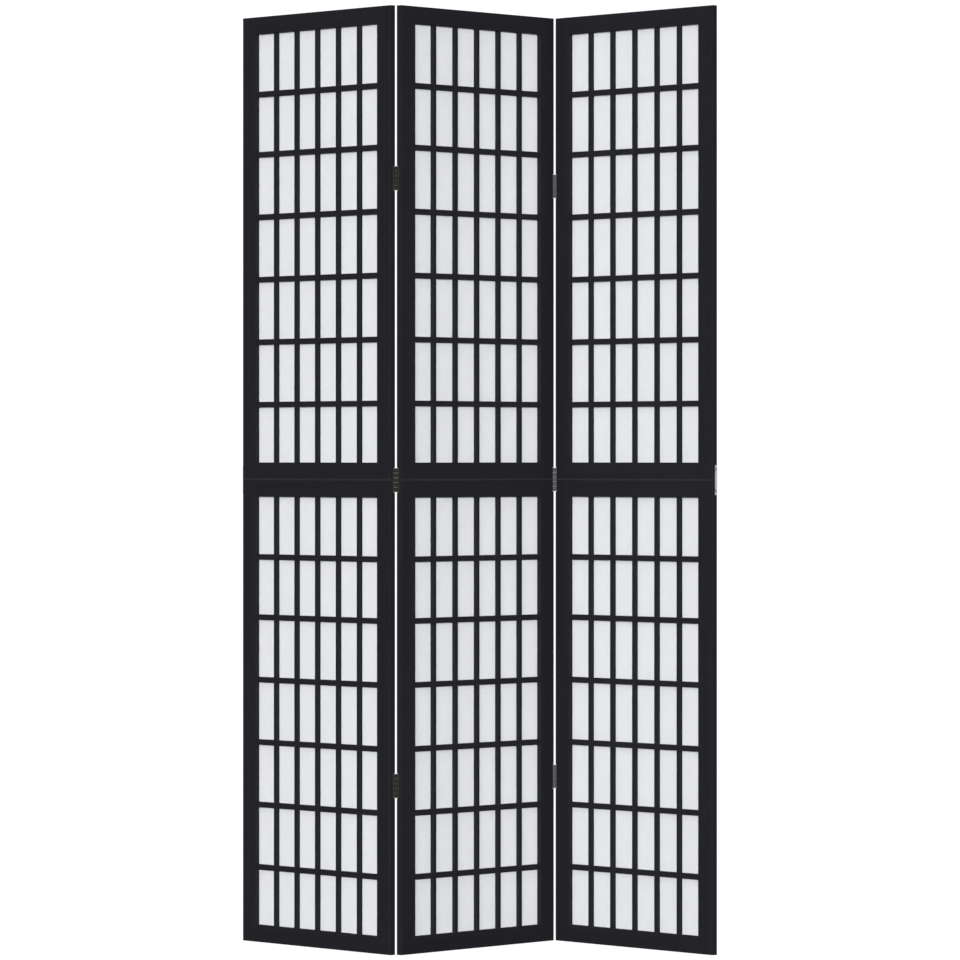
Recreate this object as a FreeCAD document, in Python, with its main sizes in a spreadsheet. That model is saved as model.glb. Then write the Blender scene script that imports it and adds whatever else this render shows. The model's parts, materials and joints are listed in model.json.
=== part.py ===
# Three-panel shoji folding screen, standing in a zigzag.
# Each panel is two half frames, one on the other, with a half-lapped lattice in front of
# a white sheet. Three butt hinges join each pair of panels: on the left fold their pins
# lie behind the screen, on the right fold in front, so the screen folds up like a Z.
# X runs across the screen, Y from front to back and Z up. The origin is on the floor
# under the middle of the middle panel. Sizes are in millimetres.

import FreeCAD
import Part
import Sketcher
import os
import re

os.makedirs("parts", exist_ok=True)
doc = FreeCAD.newDocument("folding_screen")
Vector = FreeCAD.Vector
Placement = FreeCAD.Placement
Rotation = FreeCAD.Rotation

# ---- sizes ----

sheet = doc.addObject("Spreadsheet::Sheet", "Sizes")
written = []


def size(alias, value, note):
    """Write one size to the sheet under its own name, and give its value back."""
    row = str(len(written) + 1)
    sheet.set("A" + row, note)
    sheet.set("B" + row, str(value))
    sheet.setAlias("B" + row, alias)
    written.append(alias)
    return value


panel_width = size("panel_width", 401.2, "one panel, edge to edge")
half_height = size("half_height", 850.0, "one half frame; two make a panel")
frame_thickness = size("frame_thickness", 12.0, "front to back of the frame")
stile_width = size("stile_width", 35.2, "uprights of the frame")
rail_height = size("rail_height", 31.4, "cross pieces of the frame")
front_arris = size("front_arris", 0.8, "small rounding of front and seam edges")
back_arris = size("back_arris", 0.6, "rounding of the outer back edges")
rest_angle = size("rest_angle", 46.4, "degrees each panel stands off the X axis")

columns = size("columns", 6, "cells across a half")
even_rows = size("even_rows", 4, "rows of even cells, above the lowest cell")
upright_width = size("upright_width", 7.8, "width of the vertical bars")
level_height = size("level_height", 10.2, "height of the horizontal bars")
bar_depth = size("bar_depth", 7.4, "front to back of every bar")
bar_setback = size("bar_setback", 2.0, "bars behind the front of the frame")
lowest_cell = size("lowest_cell", 101.1, "height of the cells above the bottom rail")
even_cell = size("even_cell", 104.65, "height of the cells in the even rows")
highest_cell = size("highest_cell", 105.7, "height of the cells under the top rail")
lap_play = size("lap_play", 0.1, "side play of a crossing in its notch")
tenon_length = size("tenon_length", 5.0, "stub tenon on each end of a bar")
tenon_shoulder = size("tenon_shoulder", 1.5, "step from a bar's face to its tenon")
tenon_play = size("tenon_play", 0.1, "side play of a tenon in its mortise")
end_room = size("end_room", 0.5, "room past the end of a tenon or dowel")

sheet_thickness = size("sheet_thickness", 0.4, "white non-woven sheet")
sheet_lap = size("sheet_lap", 6.0, "sheet over the ledge of its rabbet")
rabbet_width = size("rabbet_width", 7.0, "rabbet round the back of the opening")
bead_play = size("bead_play", 0.2, "bead clear of the rabbet's side and the back")

dowel_diameter = size("dowel_diameter", 5.0, "every dowel")
dowel_length = size("dowel_length", 30.0, "every dowel, half in each piece")
dowel_play = size("dowel_play", 0.1, "radial play of a dowel in its hole")
dowel_spread = size("dowel_spread", 15.0, "between the two dowels of a corner")
seam_dowel_spread = size("seam_dowel_spread", 240.0, "between the dowels across a seam")

fold_gap = size("fold_gap", 2.0, "between the edges of two panels in line")
pin_offset = size("pin_offset", 1.0, "pin axis outside the face of the panels")
hinge_height = size("hinge_height", 42.5, "every hinge")
upper_reach = size("upper_reach", 540.5, "seam to the middle of the upper hinge")
lower_reach = size("lower_reach", 547.5, "seam to the middle of the lower hinge")
barrel_diameter = size("barrel_diameter", 7.2, "outside of the knuckles")
pin_diameter = size("pin_diameter", 3.2, "hinge pin")
pin_play = size("pin_play", 0.05, "radial running clearance of the pin")
pin_proud = size("pin_proud", 0.5, "pin past each end of its barrel")
knuckle_count = size("knuckle_count", 5, "knuckles in one barrel")
knuckle_gap = size("knuckle_gap", 0.3, "clearance between neighbouring knuckles")
knuckle_room = size("knuckle_room", 0.3, "radial clearance round the other leaf's knuckle")
barrel_room = size("barrel_room", 0.4, "clearance of the wood round a barrel")
leaf_thickness = size("leaf_thickness", 1.2, "hinge leaf, let in flush")
leaf_width = size("leaf_width", 7.2, "hinge leaf, from the face of the panel")
leaf_room = size("leaf_room", 0.2, "mortise past the edges of a leaf")
leaf_screw_inset = size("leaf_screw_inset", 2.4, "screws from the free edge of a leaf")
leaf_screw_spread = size("leaf_screw_spread", 24.0, "between the two screws of a leaf")

screw_length = size("screw_length", 12.0, "every wood screw")
screw_head = size("screw_head", 4.0, "diameter of the countersunk head")
screw_shank = size("screw_shank", 2.2, "diameter of the shank")
screw_point = size("screw_point", 3.0, "length of the point")
screw_play = size("screw_play", 0.1, "radial play round the shank and the head")
recess_width = size("recess_width", 0.6, "slots of the cross recess")
recess_length = size("recess_length", 2.6, "slots of the cross recess, end to end")
recess_depth = size("recess_depth", 0.6, "depth of the cross recess")

plate_height = size("plate_height", 54.0, "joining plate across the outer seams")
plate_width = size("plate_width", 5.5, "joining plate")
plate_thickness = size("plate_thickness", 1.2, "joining plate")
plate_proud = size("plate_proud", 0.8, "joining plate out of the edge of the stile")
plate_edge = size("plate_edge", 0.8, "joining plate from the face of the panel")
plate_corner = size("plate_corner", 2.5, "corner radius of the joining plate")
plate_screw_spread = size("plate_screw_spread", 38.0, "between the screws of a plate")
doc.recompute()

pin_gap = fold_gap / 2
opening_width = panel_width - 2 * stile_width
level_count = even_rows + 2
upright_count = columns - 1

LEDGE = "(bar_setback + bar_depth)"
OPENING_WIDTH = "(panel_width - 2 * stile_width)"
OPENING_HEIGHT = "(half_height - 2 * rail_height)"
CELL_WIDTH = "((panel_width - 2 * stile_width - (columns - 1) * upright_width) / columns)"


# ---- helpers ----

def bind(thing, prop, formula):
    """Tie a property to a formula in which every word is the name of a size."""
    thing.setExpression(prop, re.sub("[a-z_]+", r"Sizes.\g<0>", formula))


def upright_start(index):
    """Left side of a vertical bar, from the left side of the opening."""
    return "(%d * (%s + upright_width) + %s)" % (index, CELL_WIDTH, CELL_WIDTH)


def level_start(index):
    """Underside of a horizontal bar, from the bottom of the opening."""
    if index < level_count - 1:
        return "(lowest_cell + %d * (even_cell + level_height))" % index
    return "(%s - highest_cell - level_height)" % OPENING_HEIGHT


def new_body(name):
    return doc.addObject("PartDesign::Body", name)


def origin_feature(body, role):
    return [f for f in body.Origin.OriginFeatures if f.Role == role][0]


def new_sketch(body, plane, name, offset=("0", "0", "0")):
    """A sketch on one of the body's own planes, moved by formulas."""
    sketch = body.newObject("Sketcher::SketchObject", name)
    sketch.AttachmentSupport = [(origin_feature(body, plane), "")]
    sketch.MapMode = "FlatFace"
    for axis, formula in zip("xyz", offset):
        if formula != "0":
            bind(sketch, "AttachmentOffset.Base." + axis, formula)
    return sketch


def dimension(sketch, formula, kind, *places):
    """Add one dimension and tie it to its formula."""
    number = sketch.addConstraint(Sketcher.Constraint(kind, *places, 1.0))
    bind(sketch, "Constraints[%d]" % number, formula)


def place_point(sketch, item, point, across, up):
    """Hold a point of the sketch at formulas measured from the sketch's origin."""
    for kind, formula, axis in (("DistanceX", across, -2), ("DistanceY", up, -1)):
        if formula == "0":
            sketch.addConstraint(Sketcher.Constraint("PointOnObject", item, point, axis))
        else:
            dimension(sketch, formula, kind, -1, 1, item, point)


def rectangle(sketch, left, low, width, height):
    """A rectangle from its lower left corner; every size is a formula."""
    corners = [Vector(1, 1), Vector(2, 1), Vector(2, 2), Vector(1, 2)]
    lines = [Part.LineSegment(*ends) for ends in zip(corners, corners[1:] + corners[:1])]
    sides = sketch.addGeometry(lines, False)
    rules = []
    for side, after in zip(sides, sides[1:] + sides[:1]):
        rules.append(Sketcher.Constraint("Coincident", side, 2, after, 1))
    for side, direction in zip(sides, ("Horizontal", "Vertical") * 2):
        rules.append(Sketcher.Constraint(direction, side))
    sketch.addConstraint(rules)
    place_point(sketch, sides[0], 1, left, low)
    dimension(sketch, width, "DistanceX", sides[0], 1, sides[0], 2)
    dimension(sketch, height, "DistanceY", sides[1], 1, sides[1], 2)


def circle(sketch, across, up, diameter):
    ring = sketch.addGeometry(Part.Circle(Vector(1, 1), Vector(0, 0, 1), 1), False)
    place_point(sketch, ring, 3, across, up)
    dimension(sketch, diameter, "Diameter", ring)


def pad(body, sketch, name, length):
    grown = body.newObject("PartDesign::Pad", name)
    grown.Profile = sketch
    bind(grown, "Length", length)
    return grown


def pocket(body, sketch, name, depth, forward):
    """Cut along the sketch plane's normal if forward, and against it if not."""
    cut = body.newObject("PartDesign::Pocket", name)
    cut.Profile = sketch
    cut.Reversed = forward
    cut.Refine = False
    bind(cut, "Length", depth)
    return cut


def through_pocket(body, sketch, name):
    cut = body.newObject("PartDesign::Pocket", name)
    cut.Profile = sketch
    cut.Type = "ThroughAll"
    cut.Midplane = True
    return cut


def lies_at(edge, at):
    """Whether a whole edge lies at the given places, such as {"x": 0, "z": 850}."""
    box = edge.BoundBox
    spans = {"x": (box.XMin, box.XMax), "y": (box.YMin, box.YMax), "z": (box.ZMin, box.ZMax)}
    return all(max(abs(end - place) for end in spans[axis]) < 0.01 for axis, place in at.items())


def round_edges(body, name, radius, *lines):
    """Round the straight edges of the body's tip that lie on the given lines."""
    doc.recompute()
    base = body.Tip
    edges = []
    for number, edge in enumerate(base.Shape.Edges, 1):
        if any(lies_at(edge, line) for line in lines):
            edges.append("Edge%d" % number)
    fillet = body.newObject("PartDesign::Fillet", name)
    fillet.Base = (base, edges)
    bind(fillet, "Radius", radius)
    return fillet


def box(name, corner, length, width, height):
    """A plain box whose place and size are formulas."""
    block = doc.addObject("Part::Box", name)
    for axis, formula in zip("xyz", corner):
        if formula != "0":
            bind(block, "Placement.Base." + axis, formula)
    bind(block, "Length", length)
    bind(block, "Width", width)
    bind(block, "Height", height)
    return block


def gather(label, members, placement):
    """One sub-part of several separate pieces."""
    group = doc.addObject("Part::Compound", label)
    group.Links = members
    group.Placement = placement
    return group


def copies(label, master, places, placement):
    """One sub-part of the same piece at several places."""
    links = []
    for place in places:
        link = doc.addObject("App::Link", label + "_piece")
        link.LinkedObject = master
        link.Placement = place
        links.append(link)
    return gather(label, links, placement)


def shift(x, y, z):
    return Placement(Vector(x, y, z), Rotation())


sub_parts = []


def sub_part(thing, label):
    thing.Label = label
    sub_parts.append(thing)
    return thing


# ---- where the panels stand ----

def panel_placement(angle, own_point, target):
    """Turn a panel about Z and bring one of its own points to the target."""
    turn = Rotation(Vector(0, 0, 1), angle)
    return Placement(target - turn.multVec(own_point), turn)


middle_place = panel_placement(
    rest_angle, Vector(panel_width / 2, frame_thickness / 2, 0), Vector(0, 0, 0))
left_pin_on_middle = Vector(-pin_gap, frame_thickness + pin_offset, 0)
right_pin_on_middle = Vector(panel_width + pin_gap, -pin_offset, 0)
left_fold_pin = middle_place.multVec(left_pin_on_middle)
right_fold_pin = middle_place.multVec(right_pin_on_middle)
left_pin_on_left = Vector(panel_width + pin_gap, frame_thickness + pin_offset, 0)
right_pin_on_right = Vector(-pin_gap, -pin_offset, 0)
panel_places = {
    "left": panel_placement(-rest_angle, left_pin_on_left, left_fold_pin),
    "middle": middle_place,
    "right": panel_placement(-rest_angle, right_pin_on_right, right_fold_pin),
}
half_floor = {"lower": 0.0, "upper": half_height}

# What stands at the left and right edge of each panel: hinges with their pins at the
# back or front, or a joining plate near the back or front.
edge_fittings = {
    ("left", "left"): ("plate", "front"),
    ("left", "right"): ("hinges", "back"),
    ("middle", "left"): ("hinges", "back"),
    ("middle", "right"): ("hinges", "front"),
    ("right", "left"): ("hinges", "front"),
    ("right", "right"): ("plate", "back"),
}


# ---- frame ----

def hinge_centres(half):
    """Heights of the hinge middles that reach into a half, from its foot."""
    if half == "upper":
        return ["0", "upper_reach"]
    return ["half_height", "(half_height - lower_reach)"]


def cut_hinge_seats(body, hand, half, pin_face):
    """Mortises for the leaves, round seats for the barrels, and pilot holes."""
    outer = "0" if hand == "left" else "stile_width"
    pin_x = "-fold_gap / 2" if hand == "left" else "stile_width + fold_gap / 2"
    if pin_face == "front":
        pin_y, leaf_y = "-pin_offset", "0"
        screw_y = "leaf_width - leaf_screw_inset"
    else:
        pin_y, leaf_y = "frame_thickness + pin_offset", "frame_thickness - leaf_width - leaf_room"
        screw_y = "frame_thickness - leaf_width + leaf_screw_inset"
    inward = hand == "left"
    mortises = new_sketch(body, "YZ_Plane", "leaf_mortises", ("0", "-half_height", outer))
    pilots = new_sketch(body, "YZ_Plane", "leaf_pilots", ("0", "-half_height", outer))
    for number, centre in enumerate(hinge_centres(half)):
        raised = "half_height + " + centre
        rectangle(mortises, leaf_y, raised + " - hinge_height / 2 - leaf_room",
                  "leaf_width + leaf_room", "hinge_height + 2 * leaf_room")
        seam_sign = "+" if half == "upper" else "-"
        signs = "+-" if number else seam_sign
        for sign in signs:
            circle(pilots, screw_y, "%s %s leaf_screw_spread / 2" % (raised, sign),
                   "screw_shank + 2 * screw_play")
        seat = new_sketch(body, "XY_Plane", "barrel_seat",
                          (pin_x, pin_y, centre + " - hinge_height / 2 - pin_proud - leaf_room"))
        circle(seat, "0", "0", "barrel_diameter + 2 * barrel_room")
        pocket(body, seat, "barrel_seat_cut",
               "hinge_height + 2 * (pin_proud + leaf_room)", True)
    pocket(body, mortises, "leaf_mortise_cut", "leaf_thickness", inward)
    pocket(body, pilots, "leaf_pilot_cut", "screw_length + end_room", inward)


def cut_plate_seat(body, hand, half, face):
    """Half of the shallow seat of a joining plate, and its pilot hole."""
    outer = "0" if hand == "left" else "stile_width"
    low_y = "plate_edge" if face == "front" else "frame_thickness - plate_edge - plate_width"
    seam = "0" if half == "upper" else "half_height"
    sign = "+" if half == "upper" else "-"
    inward = hand == "left"
    seat = new_sketch(body, "YZ_Plane", "plate_seat", ("0", "-half_height", outer))
    rectangle(seat, low_y, "half_height + %s - plate_height / 2" % seam,
              "plate_width", "plate_height")
    pocket(body, seat, "plate_seat_cut", "plate_thickness - plate_proud", inward)
    pilot = new_sketch(body, "YZ_Plane", "plate_pilot", ("0", "-half_height", outer))
    circle(pilot, low_y + " + plate_width / 2",
           "half_height + %s %s plate_screw_spread / 2" % (seam, sign),
           "screw_shank + 2 * screw_play")
    pocket(body, pilot, "plate_pilot_cut", "screw_length + end_room", inward)


def corner_dowel_heights():
    """Heights of the four dowels in one stile, from the foot of the half."""
    for rail_middle in ("rail_height / 2", "half_height - rail_height / 2"):
        for sign in "+-":
            yield "%s %s dowel_spread / 2" % (rail_middle, sign)


def make_stile(name, hand, half, fitting, face):
    """One upright of a half frame, from its left front foot."""
    body = new_body(name)
    outline = new_sketch(body, "XY_Plane", "outline")
    rectangle(outline, "0", "0", "stile_width", "frame_thickness")
    pad(body, outline, "board", "half_height")
    outer_x = 0.0 if hand == "left" else stile_width
    inner = "stile_width" if hand == "left" else "0"
    free_z = half_height if half == "upper" else 0.0
    seam_z = half_height - free_z
    into_left = hand == "right"
    round_edges(body, "back_rounding", "back_arris", {"x": outer_x, "y": frame_thickness},
                {"y": frame_thickness, "z": free_z})
    round_edges(body, "front_rounding", "front_arris", {"x": outer_x, "y": 0.0},
                {"y": 0.0, "z": free_z}, {"y": 0.0, "z": seam_z})

    rabbet_x = "stile_width - rabbet_width" if hand == "left" else "0"
    rabbet = new_sketch(body, "XY_Plane", "rabbet", ("0", "0", "rail_height - rabbet_width"))
    rectangle(rabbet, rabbet_x, LEDGE, "rabbet_width", "frame_thickness - %s" % LEDGE)
    pocket(body, rabbet, "rabbet_cut",
           "half_height - 2 * (rail_height - rabbet_width)", True)

    mortises = new_sketch(body, "YZ_Plane", "bar_mortises", ("0", "0", inner))
    for index in range(level_count):
        rectangle(mortises, "bar_setback + tenon_shoulder - tenon_play",
                  "rail_height + %s + tenon_shoulder - tenon_play" % level_start(index),
                  "bar_depth - 2 * (tenon_shoulder - tenon_play)",
                  "level_height - 2 * (tenon_shoulder - tenon_play)")
    pocket(body, mortises, "bar_mortise_cut", "tenon_length + end_room", into_left)

    dowel_holes = new_sketch(body, "YZ_Plane", "dowel_holes", ("0", "0", inner))
    for height in corner_dowel_heights():
        circle(dowel_holes, "frame_thickness / 2", height, "dowel_diameter + 2 * dowel_play")
    pocket(body, dowel_holes, "dowel_hole_cut", "dowel_length / 2 + end_room", into_left)

    if fitting == "hinges":
        cut_hinge_seats(body, hand, half, face)
    else:
        cut_plate_seat(body, hand, half, face)
    return body


def make_rail(level, half):
    """One cross piece of a half frame, from its left front lower corner."""
    at_seam = (level == "top") == (half == "lower")
    body = new_body("%s_%s_rail" % (half, level))
    outline = new_sketch(body, "YZ_Plane", "outline")
    rectangle(outline, "0", "0", "frame_thickness", "rail_height")
    pad(body, outline, "board", OPENING_WIDTH)
    outer_z = rail_height if level == "top" else 0.0
    inner = "0" if level == "top" else "rail_height"
    into_up = level == "top"
    if not at_seam:
        round_edges(body, "back_rounding", "back_arris", {"y": frame_thickness, "z": outer_z})
    round_edges(body, "front_rounding", "front_arris", {"y": 0.0, "z": outer_z})

    rabbet_z = "0" if level == "top" else "rail_height - rabbet_width"
    rabbet = new_sketch(body, "YZ_Plane", "rabbet")
    rectangle(rabbet, LEDGE, rabbet_z, "frame_thickness - %s" % LEDGE, "rabbet_width")
    pocket(body, rabbet, "rabbet_cut", OPENING_WIDTH, True)

    mortises = new_sketch(body, "XY_Plane", "bar_mortises", ("0", "0", inner))
    for index in range(upright_count):
        rectangle(mortises, "%s + tenon_shoulder - tenon_play" % upright_start(index),
                  "bar_setback + tenon_shoulder - tenon_play",
                  "upright_width - 2 * (tenon_shoulder - tenon_play)",
                  "bar_depth - 2 * (tenon_shoulder - tenon_play)")
    pocket(body, mortises, "bar_mortise_cut", "tenon_length + end_room", into_up)

    for end, place, to_right in (("left", "0", True), ("right", OPENING_WIDTH, False)):
        holes = new_sketch(body, "YZ_Plane", end + "_dowel_holes", ("0", "0", place))
        for sign in "+-":
            circle(holes, "frame_thickness / 2", "rail_height / 2 %s dowel_spread / 2" % sign,
                   "dowel_diameter + 2 * dowel_play")
        pocket(body, holes, end + "_dowel_hole_cut", "dowel_length / 2 + end_room", to_right)

    if at_seam:
        seam = "rail_height" if level == "top" else "0"
        holes = new_sketch(body, "XY_Plane", "seam_dowel_holes", ("0", "0", seam))
        for sign in "+-":
            circle(holes, "%s / 2 %s seam_dowel_spread / 2" % (OPENING_WIDTH, sign),
                   "frame_thickness / 2", "dowel_diameter + 2 * dowel_play")
        pocket(body, holes, "seam_dowel_hole_cut", "dowel_length / 2 + end_room",
               level == "bottom")
    return body


# ---- lattice ----

def make_upright_bar():
    """A vertical bar from its lower tenon, notched behind for the horizontal bars."""
    body = new_body("upright_bar")
    outline = new_sketch(body, "XY_Plane", "outline", ("0", "0", "tenon_length"))
    rectangle(outline, "0", "0", "upright_width", "bar_depth")
    pad(body, outline, "bar", OPENING_HEIGHT)
    tenon = new_sketch(body, "XY_Plane", "tenon")
    rectangle(tenon, "tenon_shoulder", "tenon_shoulder",
              "upright_width - 2 * tenon_shoulder", "bar_depth - 2 * tenon_shoulder")
    pad(body, tenon, "tenons", "%s + 2 * tenon_length" % OPENING_HEIGHT)
    notches = new_sketch(body, "XZ_Plane", "notches", ("0", "0", "-bar_depth / 2"))
    for index in range(level_count):
        rectangle(notches, "0", "tenon_length + %s - lap_play" % level_start(index),
                  "upright_width", "level_height + 2 * lap_play")
    pocket(body, notches, "notch_cut", "bar_depth / 2", False)
    return body


def make_level_bar():
    """A horizontal bar from its left tenon, notched in front for the vertical bars."""
    body = new_body("level_bar")
    outline = new_sketch(body, "YZ_Plane", "outline", ("0", "0", "tenon_length"))
    rectangle(outline, "0", "0", "bar_depth", "level_height")
    pad(body, outline, "bar", OPENING_WIDTH)
    tenon = new_sketch(body, "YZ_Plane", "tenon")
    rectangle(tenon, "tenon_shoulder", "tenon_shoulder",
              "bar_depth - 2 * tenon_shoulder", "level_height - 2 * tenon_shoulder")
    pad(body, tenon, "tenons", "%s + 2 * tenon_length" % OPENING_WIDTH)
    notches = new_sketch(body, "XZ_Plane", "notches", ("0", "0", "-bar_depth / 2"))
    for index in range(upright_count):
        rectangle(notches, "tenon_length + %s - lap_play" % upright_start(index), "0",
                  "upright_width + 2 * lap_play", "level_height")
    pocket(body, notches, "notch_cut", "bar_depth / 2", True)
    return body


# ---- hinges, screws and joining plates ----

def make_leaf(name, own_remainder):
    """A hinge leaf about its pin, with the panel on +X and the panel's thickness on +Y.
    Its knuckles are those whose number leaves own_remainder when divided by two."""
    body = new_body(name)
    outline = new_sketch(body, "XY_Plane", "plate", ("0", "0", "-hinge_height / 2"))
    rectangle(outline, "fold_gap / 2", "0", "leaf_thickness", "pin_offset + leaf_width")
    pad(body, outline, "plate_pad", "hinge_height")
    barrel = new_sketch(body, "XY_Plane", "barrel", ("0", "0", "-hinge_height / 2"))
    circle(barrel, "0", "0", "barrel_diameter")
    pad(body, barrel, "barrel_pad", "hinge_height")
    for number in range(knuckle_count):
        if number % 2 == own_remainder:
            continue
        low = "(%d * hinge_height / knuckle_count - hinge_height / 2 - knuckle_gap / 2)" % number
        room = new_sketch(body, "XY_Plane", "knuckle_room", ("0", "0", low))
        circle(room, "0", "0", "barrel_diameter + 2 * knuckle_room")
        pocket(body, room, "knuckle_room_cut", "hinge_height / knuckle_count + knuckle_gap", True)
    bore = new_sketch(body, "XY_Plane", "bore")
    circle(bore, "0", "0", "pin_diameter + 2 * pin_play")
    through_pocket(body, bore, "bore_cut")
    cut_screw_holes(body, "fold_gap / 2", "pin_offset + leaf_width - leaf_screw_inset",
                    "leaf_screw_spread", "leaf_thickness")
    return body


def cut_screw_holes(body, face, across, spread, thickness):
    """Two countersunk holes through a plate from its face, one above the other."""
    head = new_sketch(body, "YZ_Plane", "countersinks", (across, "-" + spread, face))
    shank = new_sketch(body, "YZ_Plane", "shank_holes", (across, "-" + spread, face))
    for place in (spread + " / 2", spread + " * 3 / 2"):
        circle(head, "0", place, "screw_head + 2 * screw_play")
        circle(shank, "0", place, "screw_shank + 2 * screw_play")
    pocket(body, shank, "shank_hole_cut", thickness, True)
    sink = pocket(body, head, "countersink_cut", "(screw_head - screw_shank) / 2", True)
    sink.TaperAngle = -45.0
    return body


def make_screw():
    """A countersunk wood screw along +X, its head's face at the origin."""
    body = new_body("wood_screw")
    half = new_sketch(body, "XY_Plane", "profile")
    corners = [Vector(0, 0), Vector(0, 2), Vector(1, 1), Vector(9, 1), Vector(12, 0)]
    sides = []
    for start, end in zip(corners, corners[1:] + corners[:1]):
        sides.append(half.addGeometry(Part.LineSegment(start, end), False))
    for side, after in zip(sides, sides[1:] + sides[:1]):
        half.addConstraint(Sketcher.Constraint("Coincident", side, 2, after, 1))
    half.addConstraint(Sketcher.Constraint("Coincident", sides[0], 1, -1, 1))
    half.addConstraint(Sketcher.Constraint("Vertical", sides[0]))
    half.addConstraint(Sketcher.Constraint("Horizontal", sides[2]))
    half.addConstraint(Sketcher.Constraint("PointOnObject", sides[3], 2, -1))
    dimension(half, "screw_head / 2", "DistanceY", sides[0], 1, sides[0], 2)
    dimension(half, "(screw_head - screw_shank) / 2", "DistanceX", sides[1], 1, sides[1], 2)
    dimension(half, "screw_shank / 2", "DistanceY", -1, 1, sides[2], 1)
    dimension(half, "screw_length - screw_point", "DistanceX", -1, 1, sides[2], 2)
    dimension(half, "screw_length", "DistanceX", -1, 1, sides[3], 2)
    turned = body.newObject("PartDesign::Revolution", "turned")
    turned.Profile = half
    turned.ReferenceAxis = (half, ["H_Axis"])
    turned.Angle = 360.0
    for name, tall, wide in (("slot", "recess_length", "recess_width"),
                             ("cross_slot", "recess_width", "recess_length")):
        slot = new_sketch(body, "YZ_Plane", name, ("-%s / 2" % wide, "-%s / 2" % tall, "0"))
        rectangle(slot, "0", "0", wide, tall)
        pocket(body, slot, name + "_cut", "recess_depth", True)
    return body


def make_plate():
    """A joining plate from the middle of its inner face, outwards along -X."""
    body = new_body("joining_plate")
    outline = new_sketch(body, "YZ_Plane", "outline",
                         ("-plate_width / 2", "-plate_height / 2", "-plate_thickness"))
    rectangle(outline, "0", "0", "plate_width", "plate_height")
    pad(body, outline, "plate", "plate_thickness")
    corners = [{"y": side * plate_width / 2, "z": end * plate_height / 2}
               for side in (1, -1) for end in (1, -1)]
    round_edges(body, "corners", "plate_corner", *corners)
    cut_screw_holes(body, "-plate_thickness", "0", "plate_screw_spread", "plate_thickness")
    return body


def make_dowel():
    dowel = doc.addObject("Part::Cylinder", "dowel")
    bind(dowel, "Radius", "dowel_diameter / 2")
    bind(dowel, "Height", "dowel_length")
    return dowel


def make_pin():
    pin = doc.addObject("Part::Cylinder", "hinge_pin")
    bind(pin, "Radius", "pin_diameter / 2")
    bind(pin, "Height", "hinge_height + 2 * pin_proud")
    return pin


# ---- the six half frames ----

upright_bar = make_upright_bar()
level_bar = make_level_bar()
rails = {(level, half): make_rail(level, half) for level in ("top", "bottom") for half in half_floor}
cell_width = (opening_width - upright_count * upright_width) / columns
upright_places = []
for index in range(upright_count):
    across = stile_width + cell_width + index * (cell_width + upright_width)
    upright_places.append(shift(across, bar_setback, rail_height - tenon_length))
level_places = []
for index in range(level_count):
    height = rail_height + lowest_cell + index * (even_cell + level_height)
    if index == level_count - 1:
        height = half_height - rail_height - highest_cell - level_height
    level_places.append(shift(stile_width - tenon_length, bar_setback, height))


def make_half(panel, half):
    """Frame, lattice and sheet of one half of one panel."""
    start = "%s_panel_%s_" % (panel, half)
    foot = panel_places[panel].multiply(shift(0, 0, half_floor[half]))
    for hand in ("left", "right"):
        fitting, face = edge_fittings[(panel, hand)]
        stile = make_stile(start + hand + "_stile", hand, half, fitting, face)
        across = 0.0 if hand == "left" else panel_width - stile_width
        stile.Placement = foot.multiply(shift(across, 0, 0))
        sub_part(stile, start + hand + "_stile")
    for level in ("top", "bottom"):
        name = start + level + "_rail"
        height = half_height - rail_height if level == "top" else 0.0
        place = shift(stile_width, 0, height)
        sub_part(copies(name, rails[(level, half)], [place], foot), name)
    name = start + "vertical_bars"
    sub_part(copies(name, upright_bar, upright_places, foot), name)
    name = start + "horizontal_bars"
    sub_part(copies(name, level_bar, level_places, foot), name)
    name = start + "sheet"
    paper = box(name + "_box", ("stile_width - sheet_lap", LEDGE, "rail_height - sheet_lap"),
                OPENING_WIDTH + " + 2 * sheet_lap", "sheet_thickness",
                OPENING_HEIGHT + " + 2 * sheet_lap")
    sub_part(gather(name, [paper], foot), name)


def bead_boxes(panel, half):
    """The four beads that hold one sheet in its rabbet."""
    floor = "0" if half == "lower" else "half_height"
    low = "(%s + rail_height - rabbet_width + bead_play)" % floor
    behind = "(%s + sheet_thickness)" % LEDGE
    thick = "frame_thickness - %s - bead_play" % behind
    wide = "(rabbet_width - bead_play)"
    tall = "half_height - 2 * (rail_height - rabbet_width + bead_play)"
    start = "%s_%s_bead" % (panel, half)
    beads = []
    for left in ("stile_width - rabbet_width + bead_play", "panel_width - stile_width"):
        beads.append(box(start, (left, behind, low), wide, thick, tall))
    for height in (low, "(%s + half_height - rail_height)" % floor):
        beads.append(box(start, ("stile_width", behind, height), OPENING_WIDTH, thick, wide))
    return beads


def dowel_places():
    """Corner dowels lie across the panel and seam dowels stand, all of them centred."""
    lying = Rotation(Vector(0, 1, 0), 90)
    places = []
    for half in half_floor:
        for rail_middle in (rail_height / 2, half_height - rail_height / 2):
            for sign in (1, -1):
                height = half_floor[half] + rail_middle + sign * dowel_spread / 2
                for joint in (stile_width, panel_width - stile_width):
                    start = Vector(joint - dowel_length / 2, frame_thickness / 2, height)
                    places.append(Placement(start, lying))
    for sign in (1, -1):
        across = panel_width / 2 + sign * seam_dowel_spread / 2
        places.append(shift(across, frame_thickness / 2, half_height - dowel_length / 2))
    return places


dowel = make_dowel()
for panel in panel_places:
    for half in half_floor:
        make_half(panel, half)
    place = panel_places[panel]
    beads = bead_boxes(panel, "lower") + bead_boxes(panel, "upper")
    sub_part(gather(panel + "_panel_beads", beads, place), panel + "_panel_beads")
    name = panel + "_panel_dowels"
    sub_part(copies(name, dowel, dowel_places(), place), name)

# ---- hinges, plates and their screws ----

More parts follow.
